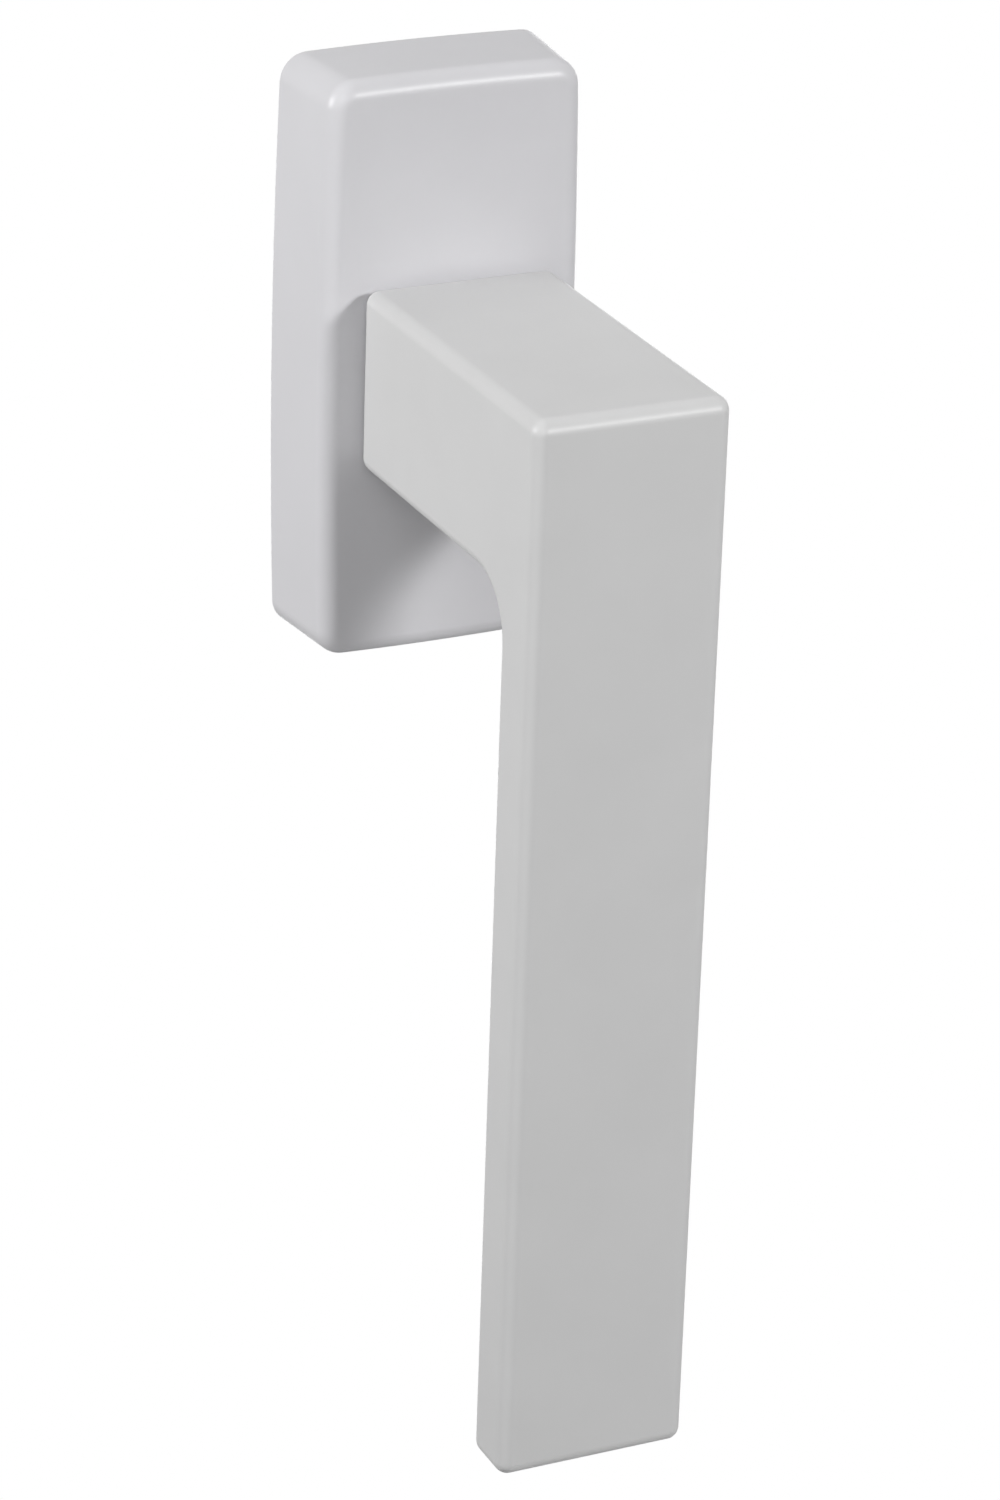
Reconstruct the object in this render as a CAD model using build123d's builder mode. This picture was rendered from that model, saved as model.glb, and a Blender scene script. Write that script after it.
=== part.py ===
from build123d import *
from math import radians, tan
import os

# Tilt-and-turn window handle on a rectangular rose.
# The spindle axis is the Y axis and the sash face is the plane y = 0, with the room on the -Y side.
# Heights below are distances from the sash face towards the room. The lever hangs along -Z, window shut.

# Lever, a flat bar bent to an L
lever_width = 21.9
neck_height = 20.2
finger_room = 35.8
grip_thickness = 7.4
grip_drop = 110.7
lever_top_radius = 2.0
lever_corner_radius = 1.6
lever_side_radius = 1.5
inner_bend_radius = 6.0

# Journal on the back of the neck
journal_radius = 6.5
key_depth = 0.9
journal_inset = 0.3
journal_chamfer = 0.3
running_clearance = 0.05
key_clearance = 0.05
axial_play = 0.1

# Spindle and its cross pin
spindle_side = 7.0
spindle_corner_radius = 0.4
spindle_reach = 25.0
spindle_grip = 12.0
spindle_tip_chamfer = 1.0
socket_clearance = 0.04
socket_end_gap = 0.3
pin_radius = 1.5
pin_end_inset = 0.3
pin_clearance = 0.02

# Circlip and thrust washer behind the cam
ring_land = 0.65
ring_thickness = 1.0
ring_seat_depth = 0.5
ring_side_gap = 0.05
ring_back_width = 2.6
ring_front_width = 1.8
ring_mouth = 3.4
ring_ear_radius = 1.4
ring_ear_hole = 0.6
washer_thickness = 0.6
washer_overhang = 0.9

# Four-flat detent cam and its two leaf springs
cam_wall = 1.5
cam_lift = 1.9
cam_thickness = 3.5
spring_thickness = 0.6
spring_contact_gap = 0.05
spring_side_gap = 0.2
spring_flare = 1.0
spring_bend_radius = 4.0
spring_end_gap = 0.3
spring_room = 0.65
spring_seat_length = 2.2

# Bearing bush
bush_wall = 1.5
bush_flange = 2.0
bush_flange_thickness = 1.0
bush_seat_clearance = 0.02
bush_rub_gap = 0.05

# Zinc base plate
hub_side_wall = 3.0
hub_end_wall = 1.8
hub_front_wall = 3.25
base_floor = 3.5
rim_wall = 1.6
rim_drop = 1.0
core_corner_radius = 2.0
lug_radius = 5.0
lug_length = 6.0
lug_chamfer = 0.8

# Fixing screws, M5 with a rolled thread on a thinner shank
screw_spacing = 43.0
thread_radius = 2.5
shank_radius = 2.2
screw_reach = 20.0
head_radius = 4.6
head_sink = 0.3
head_seat_gap = 0.05
head_room = 0.4
hole_clearance = 0.15
countersink_angle = 90.0
recess_width = 1.1
recess_length = 5.0
recess_depth = 1.6

# Rose cover, a drafted shell with bowed sides
cover_wall = 1.5
cover_front = 1.5
cover_clearance = 0.2
cover_hole_gap = 0.15
cover_seat_gap = 0.1
cover_lift = 0.1
cover_end_margin = 11.1
cover_draft_angle = 3.0
cover_side_bow = 0.65
cover_corner_radius = 3.3
cover_edge_radius = 2.1
neck_gap = 0.8
snap_root = 0.5
snap_proud = 0.4
snap_length = 8.0
snap_drop = 2.8
snap_clearance = 0.15

# Stack of heights, from the sash face to the grip
journal_back = journal_inset
ring_back = journal_back + ring_land
ring_top = ring_back + ring_thickness
washer_top = ring_top + washer_thickness
cam_top = washer_top + cam_thickness
pocket_depth = cam_top + axial_play
hub_height = pocket_depth + hub_front_wall
rim_height = hub_height - rim_drop
flange_top = hub_height + bush_flange_thickness
cover_inside = flange_top + cover_seat_gap
rose_depth = cover_inside + cover_front
neck_back = rose_depth + neck_gap
grip_back = neck_back + finger_room
grip_front = grip_back + grip_thickness
socket_top = neck_back + spindle_grip
spindle_top = socket_top - socket_end_gap
pin_height = (pocket_depth + hub_height) / 2
head_top = base_floor - head_sink + head_seat_gap
snap_height = rim_height - snap_drop

# Sizes across the axis
journal_flat = journal_radius - key_depth
bush_bore = journal_radius + running_clearance
bush_radius = bush_bore + bush_wall
flange_radius = bush_radius + bush_flange
cam_half = journal_radius + cam_wall
cam_corner = cam_half + cam_lift
spring_inner = cam_half + spring_contact_gap
relief_half = cam_corner + spring_thickness + spring_room
screw_offset = screw_spacing / 2
hub_end = screw_offset - head_radius - head_room
spring_half_length = hub_end - hub_end_wall - spring_end_gap
seat_start = spring_half_length - spring_seat_length
base_inset = cover_wall + cover_clearance
rose_half_width = relief_half + hub_side_wall + base_inset
rose_half_height = screw_offset + cover_end_margin
core_half_width = rose_half_width - cover_side_bow - base_inset - rim_wall
core_end = rose_half_height - base_inset - rim_wall

# Side view of the lever: x runs from the sash to the room, y is up
side_plane = Plane(origin=(0, 0, 0), x_dir=(0, -1, 0), z_dir=(-1, 0, 0))
# Half section through the axis: x is the radius, y runs from the sash to the room
section_plane = Plane(origin=(0, 0, 0), x_dir=(1, 0, 0), z_dir=(0, 0, -1))


def face_plane(height):
    """Plane parallel to the sash at a height, drawn as seen from the room."""
    return Plane.XZ.offset(height)


def draft_loss(height):
    """How far the rose's drafted walls have drawn in at a height."""
    return height * tan(radians(cover_draft_angle))


def rose_block(low, high, inset):
    """Drafted solid of the rose between two heights, set in from the cover's outer skin.

    The outer skin's corners are round, and those of the hidden surfaces inside are cut straight."""
    half_width = rose_half_width - inset - draft_loss(low)
    half_height = rose_half_height - inset - draft_loss(low)
    corner_x = half_width - cover_side_bow
    with BuildPart() as block:
        with BuildSketch(face_plane(low)) as outline:
            with BuildLine():
                ThreePointArc((corner_x, -half_height), (half_width, 0), (corner_x, half_height))
                Line((corner_x, half_height), (-corner_x, half_height))
                ThreePointArc((-corner_x, half_height), (-half_width, 0), (-corner_x, -half_height))
                Line((-corner_x, -half_height), (corner_x, -half_height))
            make_face()
            if inset == 0:
                fillet(outline.vertices(), cover_corner_radius)
            else:
                chamfer(outline.vertices(), cover_corner_radius - inset)
        extrude(amount=high - low, taper=cover_draft_angle)
    return block


def snap_wedges(clearance):
    """Four wedges that stand out of the cover's long walls on the inside, grown by a clearance."""
    bow_radius = (rose_half_height**2 + cover_side_bow**2) / (2 * cover_side_bow)
    bow_loss = bow_radius - (bow_radius**2 - screw_offset**2) ** 0.5
    inner_skin = rose_half_width - bow_loss - draft_loss(snap_height) - cover_wall
    tip_x = inner_skin - snap_proud - clearance
    root_x = inner_skin + snap_root
    half_height = root_x - tip_x
    with BuildPart() as wedges:
        with BuildSketch(Plane.XY.offset(screw_offset), Plane.XY.offset(-screw_offset)):
            with BuildLine():
                Polyline(
                    (root_x, -snap_height - half_height),
                    (tip_x, -snap_height),
                    (root_x, -snap_height + half_height),
                    close=True,
                )
            make_face()
            mirror(about=Plane.YZ)
        extrude(amount=snap_length / 2 + clearance, both=True)
    return wedges


def keyed_circle(height, clearance):
    """Section of the journal's keyed end, a circle with two flats, grown by a clearance."""
    radius = journal_radius + clearance
    with BuildSketch(face_plane(height)) as key:
        Circle(radius)
        Rectangle(2 * (journal_flat + clearance), 2 * radius, mode=Mode.INTERSECT)
    return key


def finish(piece, name):
    """Label a finished piece and write it to its own file."""
    piece.part.label = name
    export_step(piece.part, f"parts/{name}.step")


os.makedirs("parts", exist_ok=True)

# Lever: neck and grip in one casting
with BuildPart() as lever:
    half_neck = neck_height / 2
    with BuildSketch(side_plane) as profile:
        with BuildLine():
            Polyline(
                (neck_back, half_neck),
                (grip_front, half_neck),
                (grip_front, -grip_drop),
                (grip_back, -grip_drop),
                (grip_back, -half_neck),
                (neck_back, -half_neck),
                close=True,
            )
        make_face()
        fillet(profile.vertices().group_by(Axis.Y)[-1].sort_by(Axis.X)[-1], lever_top_radius)
        fillet(profile.vertices().group_by(Axis.Y)[1].sort_by(Axis.X)[-1], inner_bend_radius)
        fillet(profile.vertices().group_by(Axis.X)[0], lever_corner_radius)
        fillet(profile.vertices().group_by(Axis.Y)[0], lever_corner_radius)
    extrude(amount=lever_width / 2, both=True)
    side_faces = lever.faces().filter_by(Axis.X)
    fillet(side_faces.edges(), lever_side_radius)
    # journal, keyed where the cam and washer sit
    with BuildSketch(face_plane(pocket_depth)):
        Circle(journal_radius)
    extrude(amount=neck_back - pocket_depth)
    extrude(keyed_circle(journal_back, 0).sketch, amount=pocket_depth - journal_back)
    chamfer(lever.faces().sort_by(Axis.Y)[-1].edges(), journal_chamfer)
    # groove for the circlip
    with BuildSketch(section_plane):
        with Locations((journal_radius, ring_back - ring_side_gap)):
            Rectangle(
                2 * ring_seat_depth,
                ring_thickness + ring_side_gap,
                align=(Align.CENTER, Align.MIN),
            )
    revolve(axis=Axis.Y, mode=Mode.SUBTRACT)
    # square socket and cross hole for the spindle
    with BuildSketch(face_plane(journal_back)):
        Rectangle(spindle_side + 2 * socket_clearance, spindle_side + 2 * socket_clearance)
    extrude(amount=socket_top - journal_back, mode=Mode.SUBTRACT)
    with BuildSketch(Plane.YZ):
        with Locations((-pin_height, 0)):
            Circle(pin_radius + pin_clearance)
    extrude(amount=journal_radius, both=True, mode=Mode.SUBTRACT)
finish(lever, "lever")

# Spindle: drawn square bar with a bevelled tip
with BuildPart() as spindle:
    with BuildSketch(face_plane(-spindle_reach)):
        Rectangle(spindle_side, spindle_side)
    extrude(amount=spindle_reach + spindle_top)
    chamfer(spindle.faces().sort_by(Axis.Y)[-1].edges(), spindle_tip_chamfer)
    fillet(spindle.edges().filter_by(Axis.Y), spindle_corner_radius)
    with BuildSketch(Plane.YZ):
        with Locations((-pin_height, 0)):
            Circle(pin_radius + pin_clearance)
    extrude(amount=spindle_side, both=True, mode=Mode.SUBTRACT)
finish(spindle, "spindle")

# Cross pin through journal and spindle, ending just under the bearing surface
with BuildPart() as spindle_pin:
    with BuildSketch(Plane.YZ):
        with Locations((-pin_height, 0)):
            Circle(pin_radius)
    extrude(amount=journal_radius - pin_end_inset, both=True)
finish(spindle_pin, "spindle_pin")

# Detent cam: a square with its corners turned down to a circle
with BuildPart() as detent_cam:
    with BuildSketch(face_plane(washer_top)):
        Rectangle(2 * cam_half, 2 * cam_half)
        Circle(cam_corner, mode=Mode.INTERSECT)
        add(keyed_circle(0, key_clearance).sketch_local, mode=Mode.SUBTRACT)
    extrude(amount=cam_thickness)
finish(detent_cam, "detent_cam")

# Thrust washer, keyed on the journal and wide enough to hold the springs in
with BuildPart() as thrust_washer:
    with BuildSketch(face_plane(ring_top)):
        Circle(spring_inner + spring_thickness + washer_overhang)
        add(keyed_circle(0, key_clearance).sketch_local, mode=Mode.SUBTRACT)
    extrude(amount=washer_thickness)
finish(thrust_washer, "thrust_washer")

# Circlip: broad at the back, slim at its two ears
with BuildPart() as retaining_ring:
    ring_bore = journal_radius - ring_seat_depth + key_clearance
    ring_outer = ring_bore + (ring_back_width + ring_front_width) / 2
    ring_offset = (ring_back_width - ring_front_width) / 2
    ear_x = ring_mouth / 2 + ring_ear_radius
    ear_y = ring_bore + ring_front_width
    with BuildSketch(face_plane(ring_back)):
        with Locations((0, -ring_offset)):
            Circle(ring_outer)
        with Locations((-ear_x, ear_y), (ear_x, ear_y)):
            Circle(ring_ear_radius)
        Circle(ring_bore, mode=Mode.SUBTRACT)
        with Locations((0, ring_outer)):
            Rectangle(ring_mouth, 2 * ring_outer - ring_bore, mode=Mode.SUBTRACT)
        with Locations((-ear_x, ear_y), (ear_x, ear_y)):
            Circle(ring_ear_hole, mode=Mode.SUBTRACT)
    extrude(amount=ring_thickness)
finish(retaining_ring, "retaining_ring")

# Bearing bush: flanged sleeve whose nose carries the neck clear of the cover
with BuildPart() as bearing_bush:
    with BuildSketch(section_plane):
        with BuildLine():
            Polyline(
                (bush_bore, pocket_depth),
                (bush_radius, pocket_depth),
                (bush_radius, hub_height),
                (flange_radius, hub_height),
                (flange_radius, flange_top),
                (bush_radius, flange_top),
                (bush_radius, neck_back - bush_rub_gap),
                (bush_bore, neck_back - bush_rub_gap),
                close=True,
            )
        make_face()
    revolve(axis=Axis.Y)
finish(bearing_bush, "bearing_bush")

# Leaf springs: flat along the cam, flared to their seats at both ends
for side, side_name in ((-1, "left"), (1, "right")):
    with BuildPart() as detent_spring:
        near = side * (spring_inner + spring_thickness / 2)
        far = near + side * spring_flare
        with BuildSketch(face_plane(washer_top + spring_side_gap)):
            with BuildLine():
                FilletPolyline(
                    (far, -spring_half_length),
                    (far, -seat_start),
                    (near, -cam_half),
                    (near, cam_half),
                    (far, seat_start),
                    (far, spring_half_length),
                    radius=spring_bend_radius,
                )
            trace(line_width=spring_thickness)
        extrude(amount=cam_thickness - 2 * spring_side_gap)
    finish(detent_spring, f"detent_spring_{side_name}")

# Base plate: zinc casting with hub, rim, lugs, screw seats and the detent pocket
base_block = rose_block(0, hub_height, base_inset)
snap_recesses = snap_wedges(snap_clearance)
with BuildPart() as base_plate:
    add(base_block.part)
    # the rim stands lower than the hub, and the ends are cored out for the screw heads
    with BuildSketch(face_plane(rim_height)):
        Rectangle(2 * rose_half_width, 2 * rose_half_height)
        Rectangle(2 * rose_half_width, 2 * hub_end, mode=Mode.SUBTRACT)
    extrude(amount=rim_drop, mode=Mode.SUBTRACT)
    with BuildSketch(face_plane(base_floor)):
        with GridLocations(0, hub_end + core_end, 1, 2):
            RectangleRounded(2 * core_half_width, core_end - hub_end, core_corner_radius)
    extrude(amount=hub_height - base_floor, mode=Mode.SUBTRACT)
    # locating lugs on the sash side
    with BuildSketch(face_plane(0)):
        with GridLocations(0, screw_spacing, 1, 2):
            Circle(lug_radius)
    extrude(amount=-lug_length)
    lug_ends = base_plate.faces().filter_by(Axis.Y).group_by(Axis.Y)[-1]
    chamfer(lug_ends.edges(), lug_chamfer)
    # detent pocket, open to the sash, with room for the springs to bow beside the cam
    with BuildSketch(face_plane(0)):
        Rectangle(2 * relief_half, 2 * seat_start)
        seat_half = spring_inner + spring_thickness + spring_flare + spring_contact_gap
        Rectangle(2 * seat_half, 2 * (spring_half_length + spring_end_gap))
    extrude(amount=pocket_depth, mode=Mode.SUBTRACT)
    # bush seat
    with BuildSketch(face_plane(pocket_depth)):
        Circle(bush_radius + bush_seat_clearance)
    extrude(amount=hub_front_wall, mode=Mode.SUBTRACT)
    # countersunk screw holes through the lugs
    with Locations(face_plane(base_floor)):
        with GridLocations(0, screw_spacing, 1, 2):
            CounterSinkHole(
                radius=thread_radius + hole_clearance,
                counter_sink_radius=head_radius + head_sink,
                depth=base_floor + lug_length,
                counter_sink_angle=countersink_angle,
            )
    # recesses for the cover's snap wedges
    add(snap_recesses.part, mode=Mode.SUBTRACT)
finish(base_plate, "base_plate")

# Fixing screws: countersunk heads with a cross recess, thinner shank, then the thread
with BuildPart() as fixing_screws:
    head_height = head_radius - shank_radius
    thread_start = lug_length + hole_clearance
    with Locations(face_plane(head_top)):
        with GridLocations(0, screw_spacing, 1, 2):
            Cone(
                bottom_radius=shank_radius,
                top_radius=head_radius,
                height=head_height,
                align=(Align.CENTER, Align.CENTER, Align.MAX),
            )
            Cylinder(
                radius=shank_radius,
                height=head_top + thread_start,
                align=(Align.CENTER, Align.CENTER, Align.MAX),
            )
    with Locations(face_plane(-thread_start)):
        with GridLocations(0, screw_spacing, 1, 2):
            Cylinder(
                radius=thread_radius,
                height=screw_reach - thread_start,
                align=(Align.CENTER, Align.CENTER, Align.MAX),
            )
    with Locations(face_plane(head_top)):
        with GridLocations(0, screw_spacing, 1, 2):
            for slot_angle in (0, 90):
                Box(
                    recess_length,
                    recess_width,
                    recess_depth,
                    rotation=(0, 0, slot_angle),
                    align=(Align.CENTER, Align.CENTER, Align.MAX),
                    mode=Mode.SUBTRACT,
                )
finish(fixing_screws, "fixing_screws")

# Rose cover: drafted shell, rounded front edge, round hole behind the neck
cover_block = rose_block(cover_lift, rose_depth, 0)
cover_cavity = rose_block(cover_lift, cover_inside, cover_wall)
cover_wedges = snap_wedges(0)
with BuildPart() as rose_cover:
    add(cover_block.part)
    fillet(rose_cover.faces().sort_by(Axis.Y)[0].edges(), cover_edge_radius)
    add(cover_cavity.part, mode=Mode.SUBTRACT)
    with BuildSketch(face_plane(cover_inside)):
        Circle(bush_radius + cover_hole_gap)
    extrude(amount=cover_front, mode=Mode.SUBTRACT)
    add(cover_wedges.part)
finish(rose_cover, "rose_cover")
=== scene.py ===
import math

import bpy
import numpy as np
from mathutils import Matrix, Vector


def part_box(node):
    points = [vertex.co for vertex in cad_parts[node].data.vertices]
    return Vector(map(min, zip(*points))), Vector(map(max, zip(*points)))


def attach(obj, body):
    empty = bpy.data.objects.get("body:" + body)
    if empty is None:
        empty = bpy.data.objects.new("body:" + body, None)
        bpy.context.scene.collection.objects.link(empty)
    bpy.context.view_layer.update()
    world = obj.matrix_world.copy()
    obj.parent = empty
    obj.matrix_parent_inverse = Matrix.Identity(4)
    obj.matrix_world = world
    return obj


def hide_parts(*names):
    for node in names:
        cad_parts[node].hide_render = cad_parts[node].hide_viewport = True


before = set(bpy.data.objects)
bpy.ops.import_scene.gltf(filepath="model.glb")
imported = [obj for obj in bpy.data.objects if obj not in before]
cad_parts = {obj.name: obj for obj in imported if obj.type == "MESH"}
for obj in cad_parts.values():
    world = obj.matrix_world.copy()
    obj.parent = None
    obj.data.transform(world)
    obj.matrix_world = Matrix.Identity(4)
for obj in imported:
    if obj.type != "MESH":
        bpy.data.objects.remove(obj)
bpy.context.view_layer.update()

# Base plate: a pressure die casting in zinc, left as cast, with a fine matte skin and faint flow marks.
# It lies flat on the sash, its two lugs sit in the sash's holes, and the screws pull it home.


def grain_group():
    """Two noises over a piece, each stretched to run from 0 to 1: a fine grain and a broad cloud."""
    group = bpy.data.node_groups.new("grain_and_cloud", "ShaderNodeTree")
    face = group.interface
    for socket_name, default in (("Grain per metre", 1500.0), ("Cloud per metre", 120.0)):
        socket = face.new_socket(socket_name, in_out="INPUT", socket_type="NodeSocketFloat")
        socket.default_value = default
    stretch = face.new_socket("Stretch", in_out="INPUT", socket_type="NodeSocketVector")
    stretch.default_value = (1.0, 1.0, 1.0)
    for socket_name in ("Grain", "Cloud"):
        face.new_socket(socket_name, in_out="OUTPUT", socket_type="NodeSocketFloat")
    nodes, links = group.nodes, group.links
    inputs = nodes.new("NodeGroupInput")
    outputs = nodes.new("NodeGroupOutput")
    place = nodes.new("ShaderNodeTexCoord")
    pull = nodes.new("ShaderNodeVectorMath")
    pull.operation = "MULTIPLY"
    links.new(place.outputs["Object"], pull.inputs[0])
    links.new(inputs.outputs["Stretch"], pull.inputs[1])
    noise_low, noise_high = 0.28, 0.72
    for socket_name, detail in (("Grain", 4.0), ("Cloud", 2.0)):
        noise = nodes.new("ShaderNodeTexNoise")
        noise.inputs["Detail"].default_value = detail
        links.new(pull.outputs["Vector"], noise.inputs["Vector"])
        links.new(inputs.outputs[socket_name + " per metre"], noise.inputs["Scale"])
        spread = nodes.new("ShaderNodeMapRange")
        spread.inputs["From Min"].default_value = noise_low
        spread.inputs["From Max"].default_value = noise_high
        links.new(noise.outputs["Fac"], spread.inputs["Value"])
        links.new(spread.outputs["Result"], outputs.inputs[socket_name])
    return group


grain_and_cloud = grain_group()


def grained_finish(name, dark, pale, rough, relief, grain, cloud, stretch=(1, 1, 1), metallic=0.0):
    """Principled finish whose colour drifts from dark to pale with the cloud, whose roughness runs over its
    range with the grain, and whose surface stands up by the relief, in metres, with the grain."""
    finish = bpy.data.materials.new(name)
    finish.use_nodes = True
    nodes, links = finish.node_tree.nodes, finish.node_tree.links
    shader = nodes["Principled BSDF"]
    shader.inputs["Metallic"].default_value = metallic
    pattern = nodes.new("ShaderNodeGroup")
    pattern.node_tree = grain_and_cloud
    pattern.inputs["Grain per metre"].default_value = grain
    pattern.inputs["Cloud per metre"].default_value = cloud
    pattern.inputs["Stretch"].default_value = stretch
    tint = nodes.new("ShaderNodeMix")
    tint.data_type = "RGBA"
    tint.inputs["A"].default_value = (*dark, 1.0)
    tint.inputs["B"].default_value = (*pale, 1.0)
    links.new(pattern.outputs["Cloud"], tint.inputs["Factor"])
    links.new(tint.outputs["Result"], shader.inputs["Base Color"])
    sheen = nodes.new("ShaderNodeMapRange")
    sheen.inputs["To Min"].default_value = rough[0]
    sheen.inputs["To Max"].default_value = rough[1]
    links.new(pattern.outputs["Grain"], sheen.inputs["Value"])
    links.new(sheen.outputs["Result"], shader.inputs["Roughness"])
    bump = nodes.new("ShaderNodeBump")
    bump.inputs["Strength"].default_value = 1.0
    bump.inputs["Distance"].default_value = relief
    links.new(pattern.outputs["Grain"], bump.inputs["Height"])
    links.new(bump.outputs["Normal"], shader.inputs["Normal"])
    return finish


def dress(node, finish):
    """Put a finish on a solid that keeps its own shape."""
    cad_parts[node].data.materials.clear()
    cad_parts[node].data.materials.append(finish)


cast_zinc = grained_finish(
    "cast_zinc", dark=(0.42, 0.43, 0.45), pale=(0.58, 0.59, 0.61), rough=(0.42, 0.6), relief=2e-5,
    grain=2600, cloud=160, metallic=1.0)
dress("base_plate", cast_zinc)

# Bearing bush: turned from natural acetal, milky and slightly waxy.
# It is pressed into the hub, and its nose carries the neck clear of the cover.
acetal = grained_finish(
    "natural_acetal", dark=(0.76, 0.76, 0.71), pale=(0.84, 0.84, 0.8), rough=(0.38, 0.5), relief=4e-6,
    grain=1800, cloud=300, stretch=(1, 6, 1))
dress("bearing_bush", acetal)

# Rose cover: a thin shell, die cast with draft on its walls and bowed long sides, powder coated white.
# It snaps over the base plate with four wedges, and the neck's bush comes through its round hole.
rose_low, rose_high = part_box("rose_cover")
rose_rim = -rose_high.y
rose_front = -rose_low.y
rose_side_bow = 0.0006
rose_end_bow = 0.0003
rose_side_slope = math.tan(math.radians(4.8))
rose_end_slope = math.tan(math.radians(1.0))
cavity_slope = math.tan(math.radians(3.0))
rose_corner = 0.0031
rose_edge = 0.0021
rose_wall = 0.0015
rose_hole = 0.0082
rose_side_steps = 48
rose_end_steps = 32
rose_corner_steps = 16
rose_edge_rings = 14


def rose_section(height, inset, side_slope, end_slope, cut=False):
    """Outline of the rose at a height, set in from its outer skin at the rim, as points (x, z) and outward
    normals, anticlockwise from the room.

    Long sides and ends are arcs that bulge by their bows, and move in with their own drafts. A corner's arc
    touches both, so its centre lies where the two arcs' circles, each less the corner's radius, cross. Half
    of the outline is worked out and turned by half a turn for the rest. A cut corner runs straight between
    its arc's ends."""
    half_width = rose_high.x - inset - (height - rose_rim) * side_slope
    half_height = rose_high.z - inset - (height - rose_rim) * end_slope
    side_radius = (rose_high.z**2 + rose_side_bow**2) / (2 * rose_side_bow) - inset
    end_radius = (rose_high.x**2 + rose_end_bow**2) / (2 * rose_end_bow) - inset
    corner = rose_corner - inset
    side_x = half_width - side_radius
    end_z = half_height - end_radius
    apart = math.hypot(side_x, end_z)
    along = ((side_radius - corner)**2 - (end_radius - corner)**2 + apart**2) / (2 * apart)
    aside = math.sqrt((side_radius - corner)**2 - along**2)
    corner_x = side_x + (-side_x * along - end_z * aside) / apart
    corner_z = (end_z * along - side_x * aside) / apart
    side_turn = math.atan2(corner_z, corner_x - side_x)
    end_turn = math.atan2(corner_z - end_z, corner_x)
    arcs = (
        (side_x, 0.0, side_radius, -side_turn, side_turn, rose_side_steps),
        (corner_x, corner_z, corner, side_turn, end_turn, rose_corner_steps),
        (0.0, end_z, end_radius, end_turn, np.pi - end_turn, rose_end_steps),
        (-corner_x, corner_z, corner, np.pi - end_turn, np.pi - side_turn, rose_corner_steps))
    centre_x, centre_z, radius, start, stop, steps = zip(*arcs)
    angle = np.concatenate([np.linspace(*span, endpoint=False) for span in zip(start, stop, steps)])
    centre = np.repeat(np.stack([centre_x, centre_z], axis=1), steps, axis=0)
    normals = np.stack([np.cos(angle), np.sin(angle)], axis=1)
    points = centre + np.repeat(radius, steps)[:, None] * normals
    points = np.concatenate([points, -points])
    if cut:
        half = angle.size
        first = np.array([rose_side_steps, half - rose_corner_steps])
        first = np.concatenate([first, first + half])[:, None]
        last = (first + rose_corner_steps) % len(points)
        step = np.arange(rose_corner_steps)
        share = (step / rose_corner_steps)[:, None]
        points[first + step] = points[first] * (1 - share) + points[last] * share
    return points, np.concatenate([normals, -normals])


def skin(name, rings, normals=None, joined=False, sharp=30):
    """Piece made of the quads between neighbouring rings of points.

    rings[j, i] is point i of ring j. normals[j] holds the surface's normals along the two rings of strip j,
    and where there are none the edges over an angle in degrees are sharp. A joined skin runs on from its
    last ring to its first, and any other is closed by a flat face at each end."""
    count, around = rings.shape[:2]
    index = np.arange(count * around).reshape(count, around)
    near = index if joined else index[:-1]
    far = np.roll(index, -1, axis=0)[:len(near)]
    quads = np.stack([near, np.roll(near, -1, 1), np.roll(far, -1, 1), far], axis=2).reshape(-1, 4)
    faces = quads.tolist()
    if not joined:
        faces += [index[0, ::-1].tolist(), index[-1].tolist()]
    mesh = bpy.data.meshes.new(name)
    mesh.from_pydata(rings.reshape(-1, 3).tolist(), [], faces, shade_flat=False)
    if normals is None:
        mesh.set_sharp_from_angle(angle=math.radians(sharp))
    else:
        first, second = normals[:, 0], normals[:, 1]
        corners = np.stack([first, np.roll(first, -1, 1), np.roll(second, -1, 1), second], axis=2)
        corners = corners.reshape(-1, 3)
        if not joined:
            corners = np.concatenate([corners, normals[0, 0, ::-1], normals[-1, 1]])
        mesh.normals_split_custom_set(corners.tolist())
    piece = bpy.data.objects.new(name, mesh)
    bpy.context.scene.collection.objects.link(piece)
    return piece


def upright(flat, towards_room):
    """Vectors (x, z) with a height towards the room, as vectors in the object's own frame."""
    height = np.broadcast_to(-np.asarray(towards_room, float), flat.shape[:-1])
    return np.stack([flat[..., 0], height, flat[..., 1]], axis=-1)


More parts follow.
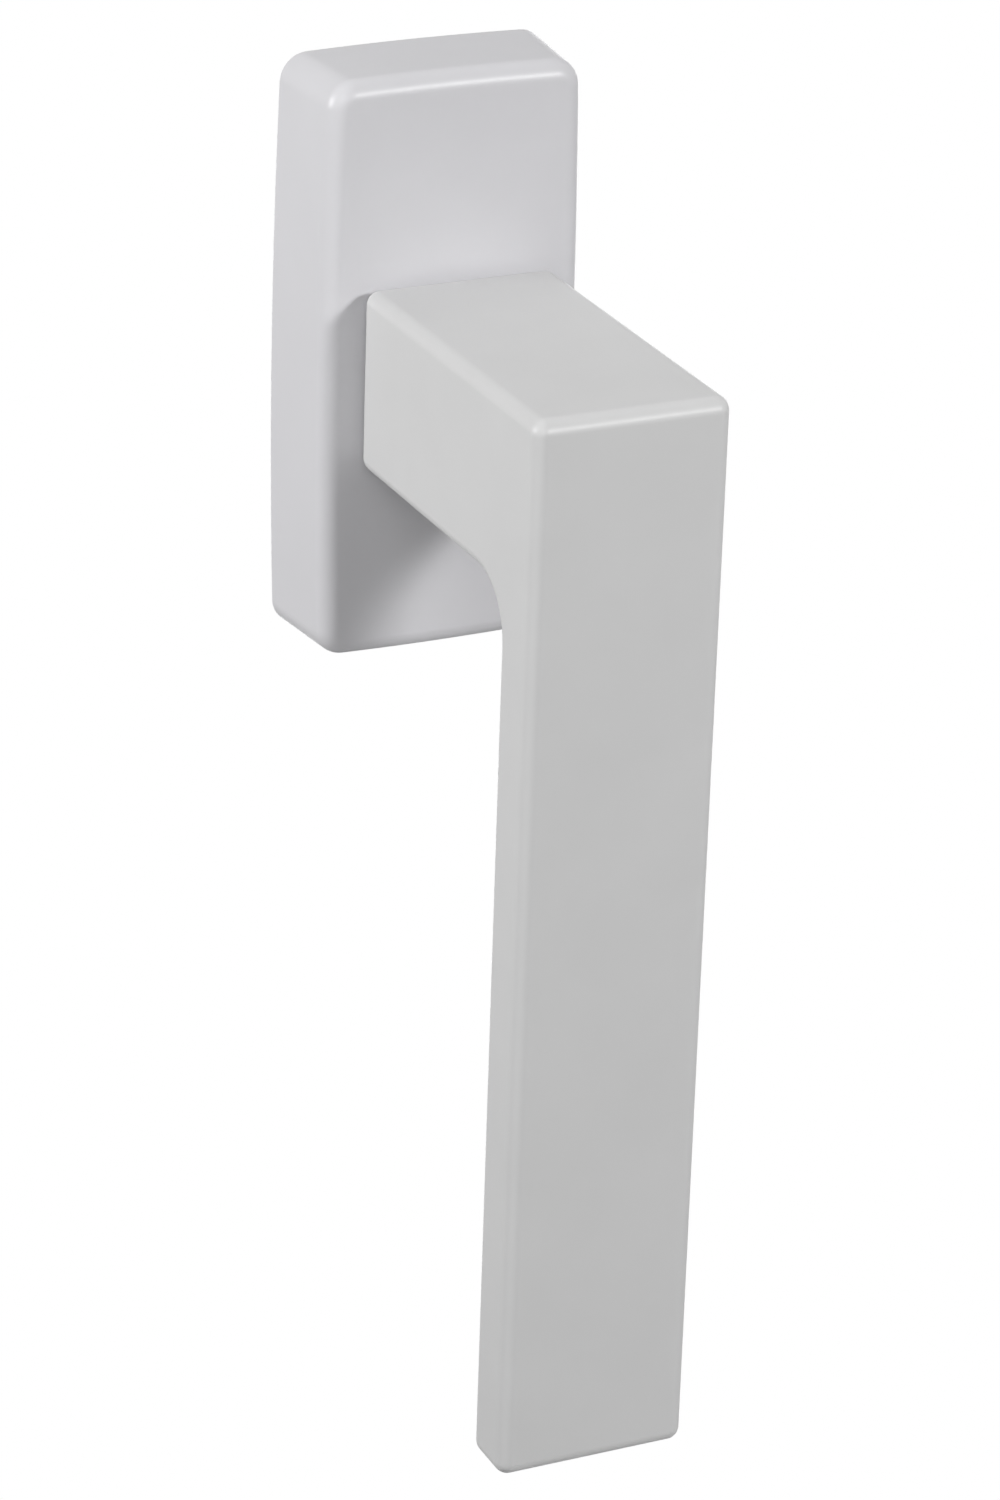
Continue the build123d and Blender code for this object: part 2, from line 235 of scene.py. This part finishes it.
def rose_shell():
    """Closed skin of the cover, ring by ring: the outer wall, the front edge, the front face, the hole and,
    back down on the inside, the inner face and the inner wall.

    A wall leans in by an angle a, whose slope is both drafts weighted by the wall's normal. The front edge
    rolls over on a ball of radius e, whose centre lies e / cos a behind the wall: at the angle p a point is
    e (1 / cos a - cos p) in and e sin p up, for p from a to upright."""
    inside = rose_front - rose_wall
    foot, foot_out = rose_section(rose_rim, 0.0, rose_side_slope, rose_end_slope)
    brow, out = rose_section(rose_front - rose_edge, 0.0, rose_side_slope, rose_end_slope)
    lean = np.arctan(np.abs(out[:, 0]) * rose_side_slope + np.abs(out[:, 1]) * rose_end_slope)
    roll = lean + np.linspace(0, 1, rose_edge_rings)[:, None] * (np.pi / 2 - lean)
    inward = rose_edge * (1 / np.cos(lean) - np.cos(roll))
    edge = upright(brow - inward[..., None] * out, rose_front - rose_edge + rose_edge * np.sin(roll))
    spoke = brow / np.linalg.norm(brow, axis=1)[:, None]
    cavity_top = rose_section(inside, rose_wall, cavity_slope, cavity_slope, cut=True)[0]
    cavity_foot = rose_section(rose_rim, rose_wall, cavity_slope, cavity_slope, cut=True)[0]
    rings = np.concatenate([
        upright(foot, rose_rim)[None], edge, upright(rose_hole * spoke, rose_front)[None],
        upright(rose_hole * spoke, inside)[None], upright(cavity_top, inside)[None],
        upright(cavity_foot, rose_rim)[None]])
    level = np.zeros_like(out)
    to_room, to_sash = upright(level, 1.0), upright(level, -1.0)
    foot_slope = upright(foot_out * np.cos(lean)[:, None], np.sin(lean))
    turned = upright(out * np.cos(roll)[..., None], np.sin(roll))
    strips = [(foot_slope, turned[0])] + list(zip(turned[:-1], turned[1:]))
    strips += [
        (to_room, to_room), (upright(-spoke, 0.0), upright(-spoke, 0.0)), (to_sash, to_sash),
        (-foot_slope, -foot_slope), (to_sash, to_sash)]
    return skin("rose_shell", rings, np.array(strips), joined=True)


def powder_coat(name, colour, rough, relief):
    """Baked powder coat: an orange peel of small soft swells, a faint drift of colour and a satin gloss."""
    pale_share, dark_share = 1.012, 0.985
    swells_per_metre, drifts_per_metre = 1700, 90
    pale = tuple(pale_share * value for value in colour)
    dark = tuple(dark_share * value for value in colour)
    return grained_finish(name, dark, pale, rough, relief, grain=swells_per_metre, cloud=drifts_per_metre)


rose_white = powder_coat("rose_white", colour=(0.737, 0.732, 0.755), rough=(0.36, 0.4), relief=1.5e-6)
rose_shell_piece = rose_shell()
rose_shell_piece.data.materials.append(rose_white)
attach(rose_shell_piece, "rose")
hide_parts("rose_cover")

# Lever: one aluminium casting, a flat neck and grip in an L, rounded along every edge, powder coated white.
# The neck stands just clear of the cover on the bush's nose, and the grip hangs from its front.
lever_low, lever_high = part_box("lever")
lever_half = lever_high.x
lever_front = -lever_low.y
neck_top = lever_high.z
neck_back = 0.0128
grip_thick = 0.0074
bar_side = 0.0015
bar_edge = 0.0016
neck_front_edge = 0.00165
elbow = 0.006
bar_radii = np.array([bar_edge, neck_front_edge, bar_edge, bar_edge, elbow, bar_edge])
bar_arc_points = 13


def bar_outline():
    """Side view of the bar as points (height towards the room, z) and outward normals, clockwise from the
    neck's upper back corner.

    A corner with edges towards its neighbours along a and b becomes a quarter circle about the point one
    radius in along both: centre less radius times (b cos t + a sin t), for t from 0 to a quarter turn."""
    grip_back = lever_front - grip_thick
    corners = np.array([
        (neck_back, neck_top), (lever_front, neck_top), (lever_front, lever_low.z),
        (grip_back, lever_low.z), (grip_back, -neck_top), (neck_back, -neck_top)])
    before = np.roll(corners, 1, axis=0) - corners
    after = np.roll(corners, -1, axis=0) - corners
    before /= np.linalg.norm(before, axis=1)[:, None]
    after /= np.linalg.norm(after, axis=1)[:, None]
    bulge = np.sign(before[:, 0] * after[:, 1] - before[:, 1] * after[:, 0])
    turn = np.linspace(0, np.pi / 2, bar_arc_points)[None, :, None]
    arm = after[:, None] * np.cos(turn) + before[:, None] * np.sin(turn)
    centre = corners + bar_radii[:, None] * (before + after)
    points = centre[:, None] - bar_radii[:, None, None] * arm
    normals = -bulge[:, None, None] * arm
    return points.reshape(-1, 2), normals.reshape(-1, 2)


def bar_skin():
    """Skin of the bar: its outline carried across the width, drawn in by r(1 - cos t) while the side rounds
    with r sin t, from one flat side to the other."""
    outline, out = bar_outline()
    swing = np.linspace(-np.pi / 2, 0, bar_arc_points)
    lean = np.concatenate([swing, -swing[::-1]])
    across = np.where(np.arange(lean.size) < swing.size, -1.0, 1.0) * (lever_half - bar_side)
    across = across + bar_side * np.sin(lean)
    flat = outline[None] - bar_side * (1 - np.cos(lean))[:, None, None] * out[None]
    rings = np.stack([
        np.broadcast_to(across[:, None], flat.shape[:2]), -flat[..., 0], flat[..., 1]], axis=-1)
    tilt = out[None] * np.cos(lean)[:, None, None]
    normals = np.stack([
        np.broadcast_to(np.sin(lean)[:, None], flat.shape[:2]), -tilt[..., 0], tilt[..., 1]], axis=-1)
    return skin("lever_bar", rings, np.stack([normals[:-1], normals[1:]], axis=1))


lever_white = powder_coat("lever_white", colour=(0.72, 0.72, 0.72), rough=(0.4, 0.44), relief=2.5e-6)
lever_bar = bar_skin()
lever_bar.data.materials.append(lever_white)
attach(lever_bar, "lever")
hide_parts("lever")

# Journal: a round stub behind the neck, of one casting with it, turned to size and left bare.
# It turns in the bush, carries cam and washer on two flats, and has a groove for the circlip.
journal_radius = 0.0065
journal_flat = 0.0056
journal_end = -lever_high.y
journal_bevel = 0.0003
journal_key_top = 0.00615
journal_sunk = 0.001
journal_root = neck_back + journal_sunk
groove_radius = 0.006
groove_low = 0.0009
groove_high = 0.00195
socket_half = 0.00354
socket_top = 0.0248
turn_steps = 72
least_cosine = 1e-9


def round_angles(*corners):
    """Angles once round, evenly spaced, with the corners of a section put in exactly in every quadrant."""
    corner = np.array(corners)
    quarter = np.concatenate([corner, np.pi - corner])
    even = np.arange(turn_steps) * 2 * np.pi / turn_steps
    return np.unique(np.concatenate([even, quarter, np.mod(-quarter, 2 * np.pi)]))


def journal_skin():
    """Skin of the journal from its socket's floor to inside the neck, each ring a radius over the angle.

    A flat limits the radius to its distance over the cosine. The socket's radius is its half side over the
    larger of cosine and sine. In between come the bevelled end and the groove for the circlip."""
    angle = round_angles(
        math.acos(journal_flat / journal_radius), math.acos(journal_flat / groove_radius), math.pi / 4)
    side = np.maximum(np.abs(np.cos(angle)), least_cosine)
    full = np.full(angle.size, journal_radius)
    keyed = np.minimum(journal_radius, journal_flat / side)
    groove = np.minimum(groove_radius, journal_flat / side)
    socket = socket_half / np.maximum(np.abs(np.cos(angle)), np.abs(np.sin(angle)))
    radius, height = zip(
        (socket, socket_top), (socket, journal_end), (keyed - journal_bevel, journal_end),
        (keyed, journal_end + journal_bevel), (keyed, groove_low), (groove, groove_low),
        (groove, groove_high), (keyed, groove_high), (keyed, journal_key_top), (full, journal_key_top),
        (full, journal_root))
    flat = np.array(radius)[..., None] * np.stack([np.cos(angle), np.sin(angle)], axis=1)
    return skin("lever_journal", upright(flat, np.array(height)[:, None]))


turned_alloy = grained_finish(
    "turned_alloy", dark=(0.6, 0.6, 0.61), pale=(0.7, 0.7, 0.71), rough=(0.28, 0.4), relief=3e-6,
    grain=900, cloud=200, stretch=(1, 14, 1), metallic=1.0)
lever_journal = journal_skin()
lever_journal.data.materials.append(turned_alloy)
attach(lever_journal, "lever")
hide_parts("lever")

# Spindle: cold drawn square steel bar, zinc plated, with faint draw lines along it and a bevelled tip.
# It stands in the journal's square socket and works the gear inside the sash.
drawn_plate = grained_finish(
    "drawn_plate", dark=(0.6, 0.61, 0.63), pale=(0.74, 0.74, 0.73), rough=(0.24, 0.4), relief=4e-6,
    grain=2400, cloud=260, stretch=(1, 0.05, 1), metallic=1.0)
dress("spindle", drawn_plate)

# Cross pin: hardened spring steel, ground round.
# It is pressed through journal and spindle, so that the spindle can't pull out.
ground_steel = grained_finish(
    "ground_steel", dark=(0.4, 0.4, 0.42), pale=(0.52, 0.52, 0.53), rough=(0.2, 0.34), relief=2e-6,
    grain=3000, cloud=400, stretch=(0.1, 1, 1), metallic=1.0)
dress("spindle_pin", ground_steel)

# Detent cam: a square with turned-down corners, of pressed and sintered steel powder, dark and porous.
# It sits on the journal's two flats, and each of its own four flats is one stop of the handle.
sintered = grained_finish(
    "sintered_steel", dark=(0.2, 0.2, 0.21), pale=(0.33, 0.33, 0.34), rough=(0.4, 0.68), relief=1.6e-5,
    grain=5200, cloud=500, metallic=1.0)
dress("detent_cam", sintered)

# Leaf springs: blued spring steel strip, rolled along its length, one each side of the cam.
# They lie loose in the pocket, and their flared ends bear on its walls.
rolled_strip = grained_finish(
    "rolled_strip", dark=(0.34, 0.36, 0.42), pale=(0.5, 0.5, 0.52), rough=(0.22, 0.36), relief=3e-6,
    grain=3200, cloud=240, stretch=(1, 1, 0.08), metallic=1.0)
dress("detent_spring_left", rolled_strip)
dress("detent_spring_right", rolled_strip)

# Thrust washer: stamped steel, zinc plated, keyed on the journal's flats.
# It keeps cam and springs in their pocket.
stamped_plate = grained_finish(
    "stamped_plate", dark=(0.62, 0.63, 0.66), pale=(0.74, 0.74, 0.72), rough=(0.26, 0.42), relief=5e-6,
    grain=3600, cloud=320, metallic=1.0)
dress("thrust_washer", stamped_plate)

# Circlip: stamped spring steel with a dark phosphate skin.
# It is sprung into the journal's groove and holds the lever in the base.
phosphate = grained_finish(
    "phosphate_black", dark=(0.05, 0.05, 0.053), pale=(0.11, 0.11, 0.115), rough=(0.42, 0.62), relief=6e-6,
    grain=6000, cloud=700, metallic=0.6)
dress("retaining_ring", phosphate)

# Fixing screws: two M5 countersunk screws of zinc plated steel, with a cross recess and a rolled thread.
# They pass through the lugs into the window gear.
screw_low, screw_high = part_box("fixing_screws")
screw_top = -screw_low.y
screw_tip = -screw_high.y
screw_head = screw_high.x
screw_offset = screw_high.z - screw_head
head_rim = 0.0001
shank_radius = 0.0022
thread_radius = 0.0025
thread_root = 0.00206
thread_pitch = 0.0008
thread_top = -0.00615
thread_step = 1e-5
thread_steepness = 2.2
thread_root_share = 0.45
thread_rings = 210
thread_sharp_edge = 65
tip_taper = 0.0003
recess_half_width = 0.00055
recess_half_length = 0.0025
recess_depth = 0.0016
recess_taper = 0.62


def screw_skin(name, place):
    """Skin of one screw between its recess's floor and its tip, each ring a radius over the angle.

    The recess is two crossed slots, the larger of two rectangles' radii, drawn in towards its floor. The
    thread's profile is a triangle wave along each pitch, times its steepness and less the root's share,
    held between 0 at the root and 1 at the crest. Its phase turns once round per pitch, and the thread
    fades in below the shank and out at the tip."""
    angle = round_angles(
        math.atan(recess_half_width / recess_half_length), math.pi / 4,
        math.atan(recess_half_length / recess_half_width))
    across = np.maximum(np.abs(np.cos(angle)), least_cosine)
    along = np.maximum(np.abs(np.sin(angle)), least_cosine)
    cross = np.maximum(
        np.minimum(recess_half_length / across, recess_half_width / along),
        np.minimum(recess_half_width / across, recess_half_length / along))
    even = np.ones(angle.size)
    head_radius, head_height = zip(
        (recess_taper * cross, screw_top - recess_depth), (cross, screw_top),
        ((screw_head - head_rim) * even, screw_top), (screw_head * even, screw_top - head_rim),
        (shank_radius * even, screw_top - screw_head + shank_radius), (shank_radius * even, thread_top))
    rise = np.linspace(thread_top - thread_step, screw_tip, thread_rings)
    phase = np.mod(rise[:, None] / thread_pitch - angle[None] / (2 * np.pi), 1.0)
    wave = 1 - np.abs(2 * phase - 1)
    crest = np.clip(thread_steepness * wave - thread_root_share, 0, 1)
    below_shank = (thread_top - rise) / thread_pitch
    above_tip = (rise - screw_tip) / thread_pitch
    fade = np.clip(below_shank, 0, 1) * np.clip(above_tip, 0, 1)
    core = thread_root - tip_taper * np.clip(1 - above_tip, 0, 1)
    thread = core[:, None] + (thread_radius - thread_root) * crest * fade[:, None]
    radius = np.concatenate([head_radius, thread])
    height = np.concatenate([head_height, rise])
    flat = radius[..., None] * np.stack([np.cos(angle), np.sin(angle)], axis=1) + np.array([0.0, place])
    return skin(name, upright(flat, height[:, None])[::-1], sharp=thread_sharp_edge)


screw_plate = grained_finish(
    "screw_plate", dark=(0.58, 0.6, 0.64), pale=(0.73, 0.73, 0.7), rough=(0.2, 0.34), relief=2e-6,
    grain=4200, cloud=420, metallic=1.0)
for screw_name, screw_place in (("upper_screw", screw_offset), ("lower_screw", -screw_offset)):
    screw = screw_skin(screw_name, screw_place)
    screw.data.materials.append(screw_plate)
    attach(screw, "rose")
    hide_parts("fixing_screws")

# Floor: a pale matt studio floor, far below the handle, which hangs on a window.
# The camera sees it as plain white, and it throws a little light back up.
floor_level = -0.9
floor_reach = 0.9
floor_grey = 0.85
floor_rough = 0.8
floor_mesh = bpy.data.meshes.new("floor")
floor_mesh.from_pydata(
    [(-floor_reach, -floor_reach, floor_level), (floor_reach, -floor_reach, floor_level),
     (floor_reach, floor_reach, floor_level), (-floor_reach, floor_reach, floor_level)], [], [(0, 1, 2, 3)])
floor = bpy.data.objects.new("floor", floor_mesh)
bpy.context.scene.collection.objects.link(floor)
floor_paint = bpy.data.materials.new("studio_floor")
floor_paint.use_nodes = True


def seen_directly(nodes, links):
    """Factor that is 1 for rays from the camera or through glass, and 0 for light and reflections."""
    path = nodes.new("ShaderNodeLightPath")
    either = nodes.new("ShaderNodeMath")
    either.operation = "MAXIMUM"
    links.new(path.outputs["Is Camera Ray"], either.inputs[0])
    links.new(path.outputs["Is Transmission Ray"], either.inputs[1])
    return either.outputs["Value"]


floor_nodes, floor_links = floor_paint.node_tree.nodes, floor_paint.node_tree.links
floor_shader = floor_nodes["Principled BSDF"]
floor_shader.inputs["Base Color"].default_value = (floor_grey, floor_grey, floor_grey, 1)
floor_shader.inputs["Roughness"].default_value = floor_rough
floor_glow = floor_nodes.new("ShaderNodeEmission")
floor_mix = floor_nodes.new("ShaderNodeMixShader")
floor_links.new(seen_directly(floor_nodes, floor_links), floor_mix.inputs["Fac"])
floor_links.new(floor_shader.outputs["BSDF"], floor_mix.inputs[1])
floor_links.new(floor_glow.outputs["Emission"], floor_mix.inputs[2])
floor_links.new(floor_mix.outputs["Shader"], floor_nodes["Material Output"].inputs["Surface"])
floor_mesh.materials.append(floor_paint)

# Studio light: a dim room, paler overhead in reflections, with a small key lamp at the right front, which
# draws the bright lines along the front edges, a lamp close on the left and a soft box at the left front.
# Behind the handle, one lamp high up lights the tops, and one low down is for the views from there.
room_level = 0.11
sheen_low = 0.3
sheen_high = 1.0
world = bpy.data.worlds.new("studio")
bpy.context.scene.world = world
world.use_nodes = True
world_nodes, world_links = world.node_tree.nodes, world.node_tree.links
room = world_nodes["Background"]
room.inputs["Color"].default_value = (1, 1, 1, 1)
room_path = world_nodes.new("ShaderNodeLightPath")
room_place = world_nodes.new("ShaderNodeTexCoord")
room_axes = world_nodes.new("ShaderNodeSeparateXYZ")
world_links.new(room_place.outputs["Generated"], room_axes.inputs["Vector"])
room_sheen = world_nodes.new("ShaderNodeMapRange")
room_sheen.inputs["From Min"].default_value = -1.0
room_sheen.inputs["To Min"].default_value = sheen_low
room_sheen.inputs["To Max"].default_value = sheen_high
world_links.new(room_axes.outputs["Z"], room_sheen.inputs["Value"])
room_strength = world_nodes.new("ShaderNodeMix")
room_strength.inputs["A"].default_value = room_level
world_links.new(room_path.outputs["Is Glossy Ray"], room_strength.inputs["Factor"])
world_links.new(room_sheen.outputs["Result"], room_strength.inputs["B"])
world_links.new(room_strength.outputs["Result"], room.inputs["Strength"])
backdrop = world_nodes.new("ShaderNodeBackground")
backdrop.inputs["Color"].default_value = (1, 1, 1, 1)
backdrop.inputs["Strength"].default_value = 1.0
world_mix = world_nodes.new("ShaderNodeMixShader")
world_links.new(seen_directly(world_nodes, world_links), world_mix.inputs["Fac"])
world_links.new(room.outputs["Background"], world_mix.inputs[1])
world_links.new(backdrop.outputs["Background"], world_mix.inputs[2])
world_links.new(world_mix.outputs["Shader"], world_nodes["World Output"].inputs["Surface"])


def soft_box(name, side, rise, distance, width, height, power, mirrored=True):
    """Rectangular lamp that faces the handle, at an angle to the right of the front and one above level. One
    that isn't mirrored lights the handle and leaves no gloss on it."""
    aim = Vector((0, -0.03, -0.03))
    turn, lift = math.radians(side), math.radians(rise)
    towards = Vector((math.sin(turn) * math.cos(lift), -math.cos(turn) * math.cos(lift), math.sin(lift)))
    lamp = bpy.data.lights.new(name, "AREA")
    lamp.shape = "RECTANGLE"
    lamp.size = width
    lamp.size_y = height
    lamp.energy = power
    box = bpy.data.objects.new(name, lamp)
    box.visible_glossy = mirrored
    bpy.context.scene.collection.objects.link(box)
    box.location = aim + distance * towards
    box.rotation_euler = towards.to_track_quat("Z", "Y").to_euler()


soft_box("key_box", side=28, rise=25, distance=1.3, width=0.22, height=0.22, power=8.25)
soft_box("left_box", side=-97, rise=20, distance=0.5, width=0.2, height=0.22, power=1.6)
soft_box("fill_box", side=-28, rise=28, distance=0.9, width=0.45, height=0.45, power=1.84)
soft_box("top_box", side=142, rise=60, distance=1.0, width=0.6, height=0.6, power=2.0, mirrored=False)
soft_box("back_box", side=150, rise=-15, distance=1.3, width=0.9, height=0.9, power=5.0)

# Camera: a long lens in front of the handle, above it and to its left.
# Its place, turn and focal length were fitted to the photograph's edges.
camera_data = bpy.data.cameras.new("camera")
camera_data.lens = 132.43
camera_data.sensor_width = 36.0
camera = bpy.data.objects.new("camera", camera_data)
camera.location = (-0.23253, -0.51501, 0.20033)
camera.rotation_euler = (math.radians(66.1353), math.radians(-1.7306), math.radians(-24.7139))
bpy.context.scene.collection.objects.link(camera)
bpy.context.scene.camera = camera
bpy.context.scene.view_settings.view_transform = "Standard"
